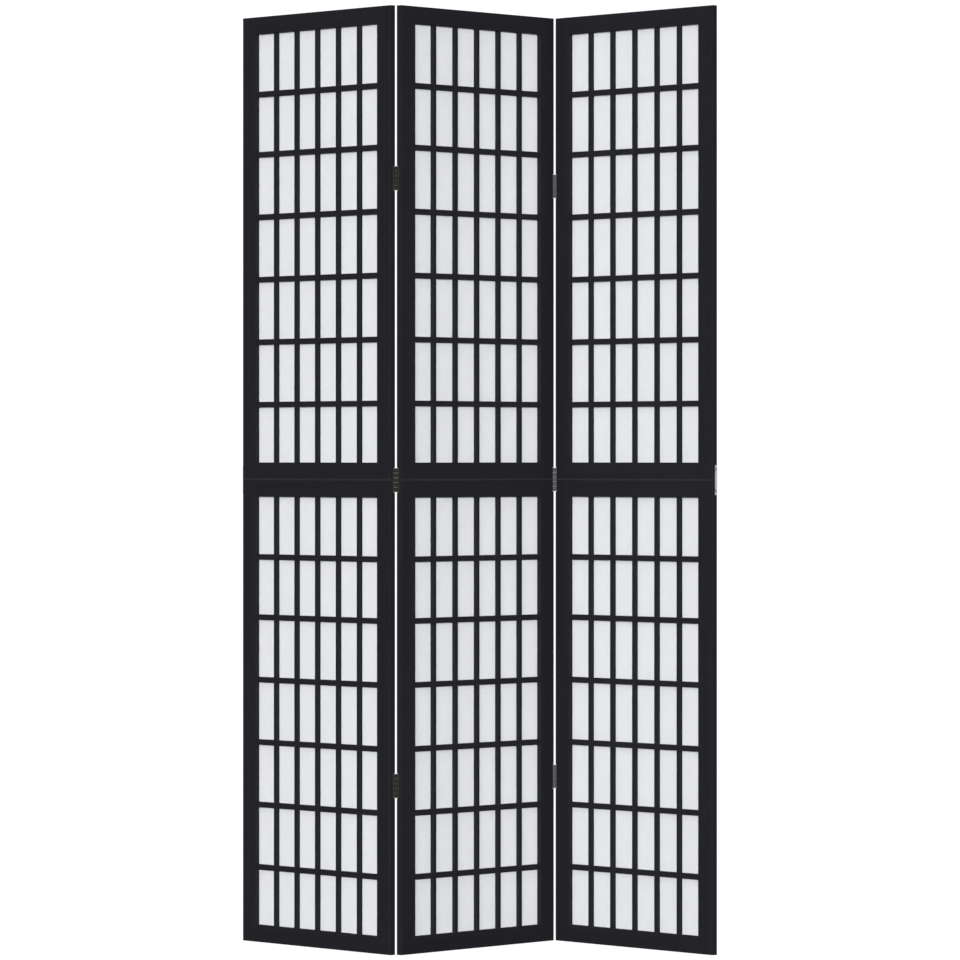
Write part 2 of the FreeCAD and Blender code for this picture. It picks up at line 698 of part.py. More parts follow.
hinge_heights = (half_height - lower_reach, half_height, half_height + upper_reach)
three_knuckle_leaf = make_leaf("three_knuckle_leaf", 0)
two_knuckle_leaf = make_leaf("two_knuckle_leaf", 1)
joining_plate = make_plate()
wood_screw = make_screw()
hinge_pin = make_pin()

# A leaf is made for a panel on its right with the pin in front; half turns about an
# axis bring it to the other edges and faces.
half_turn = {
    ("left", "front"): Rotation(),
    ("left", "back"): Rotation(Vector(1, 0, 0), 180),
    ("right", "front"): Rotation(Vector(0, 1, 0), 180),
    ("right", "back"): Rotation(Vector(0, 0, 1), 180),
}
leaf_nodes = [
    ("left", "right", three_knuckle_leaf, left_pin_on_left, "left_fold_leaves_on_left"),
    ("middle", "left", two_knuckle_leaf, left_pin_on_middle, "left_fold_leaves_on_middle"),
    ("middle", "right", three_knuckle_leaf, right_pin_on_middle, "right_fold_leaves_on_middle"),
    ("right", "left", two_knuckle_leaf, right_pin_on_right, "right_fold_leaves_on_right"),
]
screw_places = {"left": [], "middle": [], "right": []}
leaf_screw_y = pin_offset + leaf_width - leaf_screw_inset

for panel, hand, leaf, pin_point, name in leaf_nodes:
    turn = half_turn[(hand, edge_fittings[(panel, hand)][1])]
    places = []
    for height in hinge_heights:
        place = Placement(pin_point + Vector(0, 0, height), turn)
        places.append(place)
        for sign in (1, -1):
            hole = shift(pin_gap, leaf_screw_y, sign * leaf_screw_spread / 2)
            screw_places[panel].append(place.multiply(hole))
    sub_part(copies(name, leaf, places, panel_places[panel]), name)

for name, panel, pin_point in (("left_fold_pins", "left", left_pin_on_left),
                               ("right_fold_pins", "middle", right_pin_on_middle)):
    places = []
    for height in hinge_heights:
        foot = height - hinge_height / 2 - pin_proud
        places.append(shift(pin_point.x, pin_point.y, foot))
    sub_part(copies(name, hinge_pin, places, panel_places[panel]), name)

# The plates are let into the outer edges, proud of the wood.
seat_depth = plate_thickness - plate_proud
plate_middle = plate_edge + plate_width / 2
plate_places = {
    "left": Placement(Vector(seat_depth, plate_middle, half_height), Rotation()),
    "right": Placement(Vector(panel_width - seat_depth, frame_thickness - plate_middle,
                              half_height), Rotation(Vector(0, 0, 1), 180)),
}
for panel, place in plate_places.items():
    name = panel + "_joining_plate"
    sub_part(copies(name, joining_plate, [place], panel_places[panel]), name)
    for sign in (1, -1):
        hole = shift(-plate_thickness, 0, sign * plate_screw_spread / 2)
        screw_places[panel].append(place.multiply(hole))

for panel, places in screw_places.items():
    name = panel + "_panel_screws"
    sub_part(copies(name, wood_screw, places, panel_places[panel]), name)

# ---- check and write ----

doc.recompute()
for thing in doc.Objects:
    if "Invalid" in thing.State or "Error" in thing.State:
        raise RuntimeError("failed: " + thing.Name)
    if thing.TypeId == "PartDesign::Pocket":
        before = thing.BaseFeature.Shape.Volume
        if before - thing.Shape.Volume < 0.01:
            raise RuntimeError("cuts nothing: " + thing.Name)

whole = FreeCAD.BoundBox()
for thing in sub_parts:
    if thing.Shape.isNull() or not thing.Shape.isValid():
        raise RuntimeError("bad shape: " + thing.Label)
    whole.add(thing.Shape.BoundBox)
    thing.Shape.exportStep("parts/" + thing.Label + ".step")

print("nodes", len(sub_parts), "solids", sum(len(thing.Shape.Solids) for thing in sub_parts))
print("box low", round(whole.XMin, 3), round(whole.YMin, 3), round(whole.ZMin, 3))
print("box high", round(whole.XMax, 3), round(whole.YMax, 3), round(whole.ZMax, 3))
print("left fold pin", round(left_fold_pin.x, 4), round(left_fold_pin.y, 4))
print("right fold pin", round(right_fold_pin.x, 4), round(right_fold_pin.y, 4))
print("folds from", round(2 * rest_angle - 180, 3), "to", round(2 * rest_angle, 3), "degrees")
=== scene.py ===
# Three-panel shoji folding screen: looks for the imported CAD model, in metres.
import json
import math
import bmesh
import bpy
from mathutils import Matrix, Vector, noise


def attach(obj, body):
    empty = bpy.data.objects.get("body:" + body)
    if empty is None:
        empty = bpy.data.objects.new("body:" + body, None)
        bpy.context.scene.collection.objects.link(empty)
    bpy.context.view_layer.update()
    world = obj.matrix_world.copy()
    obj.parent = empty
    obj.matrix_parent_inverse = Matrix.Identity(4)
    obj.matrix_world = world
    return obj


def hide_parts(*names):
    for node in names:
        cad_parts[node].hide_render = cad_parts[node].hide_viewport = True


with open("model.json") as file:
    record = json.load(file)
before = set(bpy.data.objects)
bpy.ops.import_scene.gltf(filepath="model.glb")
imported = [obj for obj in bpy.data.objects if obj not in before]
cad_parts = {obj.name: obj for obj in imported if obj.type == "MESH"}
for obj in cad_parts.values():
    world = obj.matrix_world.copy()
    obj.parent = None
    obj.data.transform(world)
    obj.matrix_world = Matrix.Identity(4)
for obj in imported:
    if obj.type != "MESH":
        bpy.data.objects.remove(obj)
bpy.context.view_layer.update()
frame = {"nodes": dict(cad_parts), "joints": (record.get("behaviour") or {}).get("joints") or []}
print("frame loaded:", len(frame["nodes"]), "nodes")

screen = {  # its own sizes, as in the CAD frame
    "panelWidth": 0.4012,
    "halfHeight": 0.850,
    "thickness": 0.012,
    "stileWidth": 0.0352,
    "railHeight": 0.0314,
    "fold": frame["joints"][0]["range_deg"][1] / 2,  # degrees each panel stands off X
    "spacing": 2 * abs(frame["joints"][0]["pos_m"][0]),  # from one panel's middle to the next
}
foldAxes = {joint["name"]: Vector(joint["pos_m"]) for joint in frame["joints"]}
halves = {"lower": 0.0, "upper": screen["halfHeight"]}
panels = {"left": -1, "middle": 0, "right": 1}
openingWidth = screen["panelWidth"] - 2 * screen["stileWidth"]
openingHeight = screen["halfHeight"] - 2 * screen["railHeight"]
hair = 1e-6  # places nearer than this count as the same


def panelTurn(panel):
    return math.radians(screen["fold"] if panel == "middle" else -screen["fold"])


def panelMatrix(panel):  # from across, front to back and up to the screen's own frame
    middle = Vector((screen["panelWidth"] / 2, screen["thickness"] / 2, 0))
    place = Matrix.Translation((panels[panel] * screen["spacing"], 0, 0))
    return place @ Matrix.Rotation(panelTurn(panel), 4, "Z") @ Matrix.Translation(-middle)


# small helpers for node trees

def setInputs(tree, node, inputs):  # a socket is linked, a plain value is set
    for name, value in inputs.items():
        socket = node.inputs[name]
        if isinstance(value, bpy.types.NodeSocket):
            tree.links.new(value, socket)
        else:
            socket.default_value = value


def addNode(tree, kind, inputs=None, **settings):
    node = tree.nodes.new(kind)
    for name, value in settings.items():
        setattr(node, name, value)
    setInputs(tree, node, inputs or {})
    return node


def newTree(name, kind, inputs, outputs):  # a tree with its named sockets, and its two end nodes
    tree = bpy.data.node_groups.new(name, kind + "NodeTree")
    for way, sockets in (("INPUT", inputs), ("OUTPUT", outputs)):
        for label, socketKind in sockets.items():
            tree.interface.new_socket(label, in_out=way, socket_type="NodeSocket" + socketKind)
    return tree, tree.nodes.new("NodeGroupInput"), tree.nodes.new("NodeGroupOutput")


def newMaterial(name):
    material = bpy.data.materials.new(name)
    material.use_nodes = True
    return material, material.node_tree, material.node_tree.nodes["Principled BSDF"]


def calc(tree, operation, first, second=0.5, clamp=False):
    node = addNode(tree, "ShaderNodeMath", {0: first, 1: second}, operation=operation, use_clamp=clamp)
    return node.outputs[0]


def vectorCalc(tree, operation, first, second=(0, 0, 0)):
    node = addNode(tree, "ShaderNodeVectorMath", {0: first, 1: second}, operation=operation)
    return node.outputs["Value" if operation == "LENGTH" else "Vector"]


def remap(tree, value, fromLow, fromHigh, toLow=0.0, toHigh=1.0):
    node = addNode(tree, "ShaderNodeMapRange", {
        "Value": value, "From Min": fromLow, "From Max": fromHigh, "To Min": toLow, "To Max": toHigh})
    return node.outputs["Result"]


def between(tree, share, low, high):
    return remap(tree, share, 0.0, 1.0, low, high)


def mixColours(tree, share, first, second):
    node = addNode(tree, "ShaderNodeMix", data_type="RGBA")
    setInputs(tree, node, {0: share, 6: first, 7: second})
    return node.outputs[2]


def panelCoordinates(tree, panel):  # measured from the panel's middle: across, back and up
    place = addNode(tree, "ShaderNodeTexCoord")
    back = Matrix.Rotation(-panelTurn(panel), 3, "Z")
    shift = back @ Vector((-panels[panel] * screen["spacing"], 0, 0))
    local = addNode(tree, "ShaderNodeMapping", {
        "Vector": place.outputs["Object"], "Location": shift, "Rotation": (0, 0, -panelTurn(panel))})
    return local.outputs[0]


def reachFromPin(tree, fromAxis):  # level distance, whatever the height
    return vectorCalc(tree, "LENGTH", vectorCalc(tree, "MULTIPLY", fromAxis, (1, 1, 0)))


# effects that several finishes share

woodGrain = {
    "bandScale": 70.0,
    "poreScale": 1400.0,
    "fibreShare": 0.55,  # of the tone, and the broad bands give the rest
    "toneSpan": (0.34, 0.66),
    "poreSpan": (0.60, 0.74),
}


def makeGrain():  # long wood fibres and open pores, with the grain along X
    group, given, made = newTree("woodGrain", "Shader", {
        "Vector": "Vector", "Fibre Scale": "Float", "Stretch": "Float"}, {"Tone": "Float", "Pores": "Float"})
    stretched = addNode(group, "ShaderNodeCombineXYZ", {
        "X": given.outputs["Stretch"], "Y": 1.0, "Z": 1.0})
    along = vectorCalc(group, "MULTIPLY", given.outputs["Vector"], stretched.outputs[0])
    fibres = addNode(group, "ShaderNodeTexNoise", {
        "Vector": along, "Scale": given.outputs["Fibre Scale"], "Detail": 5.0, "Roughness": 0.6})
    bands = addNode(group, "ShaderNodeTexNoise", {
        "Vector": along, "Scale": woodGrain["bandScale"], "Detail": 3.0, "Distortion": 0.6})
    pores = addNode(group, "ShaderNodeTexNoise", {
        "Vector": along, "Scale": woodGrain["poreScale"], "Detail": 1.0})
    tone = calc(group, "ADD", calc(group, "MULTIPLY", fibres.outputs["Fac"], woodGrain["fibreShare"]),
                calc(group, "MULTIPLY", bands.outputs["Fac"], 1 - woodGrain["fibreShare"]))
    setInputs(group, made, {"Tone": remap(group, tone, *woodGrain["toneSpan"]),
                            "Pores": remap(group, pores.outputs["Fac"], *woodGrain["poreSpan"])})
    return group


handling = {
    "markSpan": (0.38, 0.68),
    "speckScale": 900.0,
    "speckSpan": (0.74, 0.80),
}


def makeWear():  # fine dust and handling marks, uneven over the surface
    group, given, made = newTree("handlingWear", "Shader", {"Vector": "Vector", "Mark Scale": "Float"},
                                 {"Marks": "Float", "Specks": "Float"})
    cloud = addNode(group, "ShaderNodeTexNoise", {
        "Vector": given.outputs["Vector"], "Scale": given.outputs["Mark Scale"], "Detail": 6.0,
        "Roughness": 0.65})
    speck = addNode(group, "ShaderNodeTexNoise", {
        "Vector": given.outputs["Vector"], "Scale": handling["speckScale"], "Detail": 0.0})
    setInputs(group, made, {"Marks": remap(group, cloud.outputs["Fac"], *handling["markSpan"]),
                            "Specks": remap(group, speck.outputs["Fac"], *handling["speckSpan"])})
    return group


grainGroup = makeGrain()
wearGroup = makeWear()


def addGrain(tree, vector, finish):
    return addNode(tree, "ShaderNodeGroup", {
        "Vector": vector, "Fibre Scale": finish["fibreScale"], "Stretch": finish["stretch"]},
        node_tree=grainGroup)


def addWear(tree, vector, markScale):
    return addNode(tree, "ShaderNodeGroup", {"Vector": vector, "Mark Scale": markScale}, node_tree=wearGroup)


blackWood = {
    "dark": (0.0103, 0.0104, 0.0134, 1),
    "light": (0.0130, 0.0131, 0.0166, 1),
    # colour of the dust specks, and of the painted highlight along the seam and the front arrises
    "dustAndHighlight": (0.031, 0.031, 0.035, 1),
    "roughness": (0.56, 0.70),
    "specular": 0.06,
    "fibreScale": 420.0,
    "stretch": 0.03,  # the grain's scale along the wood
    "markScale": 9.0,
    "speckShare": 0.25,
    "relief": 0.35,
    "poreDepth": 0.00004,
    "highlightWidth": 0.0023,  # how far from the seam's arrises the painted highlight reaches
    "highlightCore": 0.15,  # share of that width where the painted highlight is full
    "highlightLift": 0.0004,  # the painted highlight is centred this much above the seam, so the upper half's lower arris gets more of it
    "sideHighlight": 0.05,  # the other front arrises get only a faint painted highlight
    "leastHighlight": 0.6,  # share of the painted highlight that is there without handling marks
    "barSpread": 0.25,  # how much the tone differs from bar to bar
}


def makeBlackWood(name, panel, way):  # the grain runs "up" or "across"
    material, tree, shader = newMaterial(name)
    local = panelCoordinates(tree, panel)
    parts = addNode(tree, "ShaderNodeSeparateXYZ", {"Vector": local})
    direction = local
    if way == "up":
        direction = addNode(tree, "ShaderNodeCombineXYZ", {
            "X": parts.outputs["Z"], "Y": parts.outputs["X"], "Z": parts.outputs["Y"]}).outputs[0]
    wood = addGrain(tree, direction, blackWood)
    wear = addWear(tree, local, blackWood["markScale"])
    bar = addNode(tree, "ShaderNodeAttribute", attribute_name="barTone")
    tone = calc(tree, "ADD", wood.outputs["Tone"],
                calc(tree, "MULTIPLY", bar.outputs["Fac"], blackWood["barSpread"]), clamp=True)
    specks = calc(tree, "MULTIPLY", wear.outputs["Specks"], blackWood["speckShare"])
    colour = mixColours(tree, tone, blackWood["dark"], blackWood["light"])
    colour = mixColours(tree, specks, colour, blackWood["dustAndHighlight"])
    # painted highlight: a lighter band where the seam's rounded arrises catch the light, fainter along the
    # other front arrises, only near the front face
    near = (blackWood["highlightWidth"], blackWood["highlightWidth"] * blackWood["highlightCore"])
    fromSide = calc(tree, "SUBTRACT", screen["panelWidth"] / 2, calc(tree, "ABSOLUTE", parts.outputs["X"]))
    fromSeam = calc(tree, "ABSOLUTE", calc(
        tree, "SUBTRACT", parts.outputs["Z"], screen["halfHeight"] + blackWood["highlightLift"]))
    fromEnd = calc(tree, "SUBTRACT", screen["halfHeight"], fromSeam)
    fromFront = calc(tree, "ADD", parts.outputs["Y"], screen["thickness"] / 2)
    outer = calc(tree, "MAXIMUM", remap(tree, fromSide, *near), remap(tree, fromEnd, *near))
    arrisHighlight = calc(tree, "MAXIMUM", remap(tree, fromSeam, *near),
               calc(tree, "MULTIPLY", outer, blackWood["sideHighlight"]))
    arrisHighlight = calc(tree, "MULTIPLY", arrisHighlight, remap(tree, fromFront, *near))
    arrisHighlight = calc(tree, "MULTIPLY", arrisHighlight, between(tree, wear.outputs["Marks"], blackWood["leastHighlight"], 1.0))
    relief = calc(tree, "SUBTRACT", calc(tree, "MULTIPLY", wood.outputs["Tone"], 0.5), wood.outputs["Pores"])
    bump = addNode(tree, "ShaderNodeBump", {
        "Height": relief, "Strength": blackWood["relief"], "Distance": blackWood["poreDepth"]})
    setInputs(tree, shader, {
        "Base Color": mixColours(tree, arrisHighlight, colour, blackWood["dustAndHighlight"]),
        "Roughness": between(tree, wear.outputs["Marks"], *blackWood["roughness"]),
        "Specular IOR Level": blackWood["specular"], "Normal": bump.outputs[0]})
    return material


whiteSheet = {
    "base": (0.746, 0.754, 0.770, 1),
    "fibre": (0.804, 0.810, 0.822, 1),
    "thin": (0.712, 0.722, 0.740, 1),
    "light": (0.86, 0.87, 0.88, 1),  # tint of what shines through
    "through": 0.30,
    "roughness": (0.78, 0.92),
    "specular": 0.2,
    "sheen": 0.06,
    "bendScale": 55.0,
    "bend": 0.02,  # how far the fibres wander
    "fibreScales": (95.0, 160.0, 260.0),
    "fibreLine": (0.010, 0.002),
    "fibreShare": 0.35,
    "fibreRise": 0.6,
    "cloudScale": 38.0,
    "cloudSpan": (0.3, 0.7),
    "relief": 0.4,
    "depth": 0.00005,
}


def makeSheetMaterial():
    material, tree, shader = newMaterial("whiteNonWoven")
    place = addNode(tree, "ShaderNodeTexCoord").outputs["Object"]
    bent = addNode(tree, "ShaderNodeTexNoise", {
        "Vector": place, "Scale": whiteSheet["bendScale"], "Detail": 2.0})
    bends = [whiteSheet["bend"]] * 3
    moved = vectorCalc(tree, "ADD", place, vectorCalc(tree, "MULTIPLY", bent.outputs["Color"], bends))
    lines = None
    for scale in whiteSheet["fibreScales"]:  # long fibres are the thin level lines of a soft noise
        field = addNode(tree, "ShaderNodeTexNoise", {"Vector": moved, "Scale": scale, "Detail": 0.0})
        middle = calc(tree, "ABSOLUTE", calc(tree, "SUBTRACT", field.outputs["Fac"], 0.5))
        line = remap(tree, middle, *whiteSheet["fibreLine"])
        lines = line if lines is None else calc(tree, "MAXIMUM", lines, line)
    clouds = addNode(tree, "ShaderNodeTexNoise", {
        "Vector": place, "Scale": whiteSheet["cloudScale"], "Detail": 6.0, "Roughness": 0.7})
    cloudy = remap(tree, clouds.outputs["Fac"], *whiteSheet["cloudSpan"])
    shown = calc(tree, "MULTIPLY", lines, whiteSheet["fibreShare"])
    colour = mixColours(tree, cloudy, whiteSheet["thin"], whiteSheet["base"])
    relief = calc(tree, "ADD", calc(tree, "MULTIPLY", lines, whiteSheet["fibreRise"]), cloudy)
    bump = addNode(tree, "ShaderNodeBump", {
        "Height": relief, "Strength": whiteSheet["relief"], "Distance": whiteSheet["depth"]})
    setInputs(tree, shader, {
        "Base Color": mixColours(tree, shown, colour, whiteSheet["fibre"]),
        "Roughness": between(tree, cloudy, *whiteSheet["roughness"]),
        "Specular IOR Level": whiteSheet["specular"], "Sheen Weight": whiteSheet["sheen"],
        "Normal": bump.outputs[0]})
    glow = addNode(tree, "ShaderNodeBsdfTranslucent", {"Color": whiteSheet["light"]})
    mixed = addNode(tree, "ShaderNodeMixShader", {
        0: whiteSheet["through"], 1: shader.outputs[0], 2: glow.outputs[0]})
    setInputs(tree, tree.nodes["Material Output"], {"Surface": mixed.outputs[0]})
    return material


drawing = {  # fine marks of drawing and handling, on all the metal
    "scale": 2600.0,
    "length": 0.04,  # the marks' scale up the piece
    "markScale": 140.0,
    "relief": 0.25,
    "depth": 0.00001,
}


def drawnMetal(tree, point):  # a shade, the handling marks and a normal
    drawn = addNode(tree, "ShaderNodeMapping", {"Vector": point, "Scale": (1.0, 1.0, drawing["length"])})
    scratches = addNode(tree, "ShaderNodeTexNoise", {
        "Vector": drawn.outputs[0], "Scale": drawing["scale"], "Detail": 3.0})
    wear = addWear(tree, point, drawing["markScale"])
    shade = calc(tree, "ADD", calc(tree, "MULTIPLY", scratches.outputs["Fac"], 0.5),
                 calc(tree, "MULTIPLY", wear.outputs["Marks"], 0.5))
    bump = addNode(tree, "ShaderNodeBump", {
        "Height": scratches.outputs["Fac"], "Strength": drawing["relief"], "Distance": drawing["depth"]})
    return shade, wear.outputs["Marks"], bump.outputs[0]


metals = {
    "pinMetal": {"low": (0.16, 0.16, 0.15, 1), "high": (0.24, 0.24, 0.225, 1), "metal": 0.9,
                 "rough": (0.50, 0.62)},
    "stapleMetal": {"low": (0.20, 0.20, 0.19, 1), "high": (0.30, 0.30, 0.285, 1), "metal": 0.8,
                    "rough": (0.40, 0.55)},
}


def makeMetal(name):
    finish = metals[name]
    material, tree, shader = newMaterial(name)
    place = addNode(tree, "ShaderNodeTexCoord").outputs["Object"]
    shade, marks, normal = drawnMetal(tree, place)
    setInputs(tree, shader, {
        "Base Color": mixColours(tree, shade, finish["low"], finish["high"]),
        "Metallic": finish["metal"], "Roughness": between(tree, marks, *finish["rough"]),
        "Normal": normal})
    return material


plate = {
    "low": (0.44, 0.44, 0.45, 1),
    "high": (0.60, 0.60, 0.61, 1),
    "edge": (0.030, 0.030, 0.032, 1),  # darker along the long edges
    "halfWidth": 0.00275,
    "middle": {"left": -0.00245, "right": 0.00245},  # behind the panel's own middle
    "edgeWidth": 0.0003,
    "metal": 0.35,
    "rough": (0.42, 0.56),
}


def makePlateMetal(panel):  # bright zinc, darker along its long edges
    material, tree, shader = newMaterial("plateMetal" + panel.title())
    local = panelCoordinates(tree, panel)
    back = addNode(tree, "ShaderNodeSeparateXYZ", {"Vector": local}).outputs["Y"]
    across = calc(tree, "ABSOLUTE", calc(tree, "SUBTRACT", back, plate["middle"][panel]))
    edge = remap(tree, across, plate["halfWidth"] - plate["edgeWidth"],
                 plate["halfWidth"] - plate["edgeWidth"] / 2)
    shade, marks, normal = drawnMetal(tree, local)
    zinc = mixColours(tree, shade, plate["low"], plate["high"])
    setInputs(tree, shader, {
        "Base Color": mixColours(tree, edge, zinc, plate["edge"]),
        "Metallic": plate["metal"], "Roughness": between(tree, marks, *plate["rough"]),
        "Normal": normal})
    return material


hinge = {
    "leaf": ((0.020, 0.021, 0.014, 1), (0.032, 0.033, 0.022, 1)),  # darkened olive plating
    "knuckles": {  # the left fold's sit back in the V and are darkened as painted shade; the right fold's stand in front in grey metal
        "left_fold": ((0.0085, 0.0090, 0.0062, 1), (0.0130, 0.0138, 0.0100, 1)),
        "right_fold": ((0.062, 0.062, 0.061, 1), (0.084, 0.084, 0.082, 1)),
    },
    "barrelRadius": 0.0036,
    "barrelFade": (1.10, 0.98),  # of that radius: none of the knuckle's shade, and all of it
    "stain": (0.0115, 0.0117, 0.0148, 1),  # run from the frame over the leaves' free edges
    "stainReach": (0.0064, 0.0068),  # from the pin
    "metal": 0.12,
    "specular": 0.15,
    "rough": (0.55, 0.70),
}


def makeHingeMetal(fold):  # leaves in dark plating, and knuckles coloured per fold, the left fold's with painted shade
    material, tree, shader = newMaterial("hingeMetal" + fold.split("_")[0].title())
    place = addNode(tree, "ShaderNodeTexCoord").outputs["Object"]
    around = addNode(tree, "ShaderNodeMapping", {
        "Vector": place, "Location": (-foldAxes[fold].x, -foldAxes[fold].y, 0)}).outputs[0]
    reach = reachFromPin(tree, around)
    shade, marks, normal = drawnMetal(tree, around)
    leaf = mixColours(tree, shade, *hinge["leaf"])
    leaf = mixColours(tree, remap(tree, reach, *hinge["stainReach"]), leaf, hinge["stain"])
    # painted shade: the left fold's knuckles, set back in the V, get a darker colour than the right fold's
    barrel = mixColours(tree, shade, *hinge["knuckles"][fold])
    faded = [hinge["barrelRadius"] * share for share in hinge["barrelFade"]]
    setInputs(tree, shader, {
        "Base Color": mixColours(tree, remap(tree, reach, *faded), leaf, barrel),
        "Metallic": hinge["metal"], "Roughness": between(tree, marks, *hinge["rough"]),
        "Specular IOR Level": hinge["specular"], "Diffuse Roughness": 1.0, "Normal": normal})
    return material


screw = {
    "dark": ((0.016, 0.017, 0.012, 1), (0.026, 0.027, 0.019, 1)),  # plated with the hinges
    "bright": ((0.20, 0.20, 0.19, 1), (0.30, 0.30, 0.285, 1)),  # in the joining plates
    "metal": (0.8, 0.12),  # of the bright and of the dark ones
    "hingeReach": 0.03,  # screws nearer to a pin than this hold a hinge
    "specular": 0.15,
    "rough": (0.55, 0.70),
}


def makeScrewMetal():
    material, tree, shader = newMaterial("screwMetal")
    place = addNode(tree, "ShaderNodeTexCoord").outputs["Object"]
    shade, marks, normal = drawnMetal(tree, place)
    near = None
    for axis in foldAxes.values():
        reach = reachFromPin(tree, vectorCalc(tree, "SUBTRACT", place, axis))
        held = calc(tree, "LESS_THAN", reach, screw["hingeReach"])
        near = held if near is None else calc(tree, "MAXIMUM", near, held)
    bright = mixColours(tree, shade, *screw["bright"])
    dark = mixColours(tree, shade, *screw["dark"])
    setInputs(tree, shader, {
        "Base Color": mixColours(tree, near, bright, dark),
        "Metallic": between(tree, near, *screw["metal"]),
        "Roughness": between(tree, marks, *screw["rough"]),
        "Specular IOR Level": screw["specular"], "Normal": normal})
    return material


beech = {
    "dark": (0.40, 0.25, 0.13, 1),
    "light": (0.60, 0.43, 0.27, 1),
    "roughness": (0.55, 0.7),
    "fibreScale": 500.0,
    "stretch": 0.06,
    "relief": 0.3,
    "poreDepth": 0.00003,
}


def makeBareWood():
    material, tree, shader = newMaterial("bareBeech")
    wood = addGrain(tree, addNode(tree, "ShaderNodeTexCoord").outputs["Object"], beech)
    bump = addNode(tree, "ShaderNodeBump", {
        "Height": wood.outputs["Pores"], "Strength": beech["relief"], "Distance": beech["poreDepth"]})
    setInputs(tree, shader, {
        "Base Color": mixColours(tree, wood.outputs["Tone"], beech["dark"], beech["light"]),
        "Roughness": between(tree, wood.outputs["Tone"], *beech["roughness"]),
        "Normal": bump.outputs[0]})
    return material


uprightWood = {panel: makeBlackWood("blackWoodUp" + panel.title(), panel, "up") for panel in panels}
acrossWood = {panel: makeBlackWood("blackWoodAcross" + panel.title(), panel, "across") for panel in panels}
sheetMaterial = makeSheetMaterial()
metalOf = {name: makeMetal(name) for name in metals}
hingeMetal = {fold: makeHingeMetal(fold) for fold in foldAxes}
plateMetal = {panel: makePlateMetal(panel) for panel in ("left", "right")}
screwMetal = makeScrewMetal()
bareWood = makeBareWood()
print("finishes made:", len(bpy.data.materials))


def finishOf(node):
    start, end = node.split("_")[0], node.split("_")[-1]
    if end in ("stile", "beads") or node.endswith("vertical_bars"):
        return uprightWood[start]
    if end == "rail" or node.endswith("horizontal_bars"):
        return acrossWood[start]
    if "_leaves_" in node:
        return hingeMetal[start + "_fold"]
    if end == "plate":
        return plateMetal[start]
    return {"dowels": bareWood, "pins": metalOf["pinMetal"], "screws": screwMetal,
            "sheet": sheetMaterial}[end]


for name, thing in frame["nodes"].items():
    thing.data.materials.clear()
    thing.data.materials.append(finishOf(name))
print("CAD nodes finished")

lattice = {  # in metres, as in the CAD frame
    "columns": 6,
    "levels": 6,
    "uprightWidth": 0.0078,
    "levelHeight": 0.0102,
    "depth": 0.0074,
    "setback": 0.0020,
    "lowestCell": 0.1011,
    "evenCell": 0.10465,
    "highestCell": 0.1057,
    "tenon": 0.0050,
    "shoulder": 0.0015,
    "play": 0.0001,
    "arris": 0.0004,  # eased long edges
    "seed": 11,
}
cellWidth = (openingWidth - (lattice["columns"] - 1) * lattice["uprightWidth"]) / lattice["columns"]


def levelStarts():  # undersides of the horizontal bars above the opening's foot
    pitch = lattice["evenCell"] + lattice["levelHeight"]
    starts = [lattice["lowestCell"] + index * pitch for index in range(lattice["levels"] - 1)]
    return starts + [openingHeight - lattice["highestCell"] - lattice["levelHeight"]]


def uprightStarts():  # left sides of the vertical bars from the opening's left side
    pitch = cellWidth + lattice["uprightWidth"]
    return [cellWidth + index * pitch for index in range(lattice["columns"] - 1)]


def notchedBar(name, length, width, crossings, crossingSize, notchBehind):
    # A bar along X, its depth on Y and its width on Z, with tenons and eased long edges.
    depth, play = lattice["depth"], lattice["play"]
    outline = [(0.0, 0.0)]
    for start in crossings if not notchBehind else []:
        outline += [(start - play, 0.0), (start - play, depth / 2),
                    (start + crossingSize + play, depth / 2), (start + crossingSize + play, 0.0)]
    outline += [(length, 0.0), (length, depth)]
    for start in reversed(crossings) if notchBehind else []:
        outline += [(start + crossingSize + play, depth), (start + crossingSize + play, depth / 2),
                    (start - play, depth / 2), (start - play, depth)]
    outline += [(0.0, depth)]
    bar = bmesh.new()
    face = bar.faces.new([bar.verts.new((x, y, 0.0)) for x, y in outline])
    grown = bmesh.ops.extrude_face_region(bar, geom=[face])
    raised = [item for item in grown["geom"] if isinstance(item, bmesh.types.BMVert)]
    bmesh.ops.translate(bar, verts=raised, vec=(0, 0, width))
    bmesh.ops.recalc_face_normals(bar, faces=bar.faces)
    ends = []
    for side in bar.faces:
        middle = side.calc_center_median().x
        if abs(side.normal.x) > 1 - hair and (middle < hair or middle > length - hair):
            ends.append(side)
    for end in ends:
        outward = end.normal.copy()
        bmesh.ops.inset_individual(bar, faces=[end], thickness=lattice["shoulder"])
        pushed = bmesh.ops.extrude_face_region(bar, geom=[end])
        moved = [item for item in pushed["geom"] if isinstance(item, bmesh.types.BMVert)]
        bmesh.ops.translate(bar, verts=moved, vec=outward * lattice["tenon"])
        bmesh.ops.delete(bar, geom=[end], context="FACES_ONLY")
    edges = []
    for edge in bar.edges:
        low, high = sorted(vert.co.x for vert in edge.verts)
        atSide = all(vert.co.z < hair or vert.co.z > width - hair for vert in edge.verts)
        atFace = all(vert.co.y < hair or vert.co.y > depth - hair for vert in edge.verts)
        if high - low > hair and atSide and atFace:
            edges.append(edge)
    bmesh.ops.bevel(bar, geom=edges, offset=lattice["arris"], segments=2, profile=0.5,
                    affect="EDGES", clamp_overlap=True)
    bmesh.ops.recalc_face_normals(bar, faces=bar.faces)
    mesh = bpy.data.meshes.new(name)
    bar.to_mesh(mesh)
    bar.free()
    return mesh


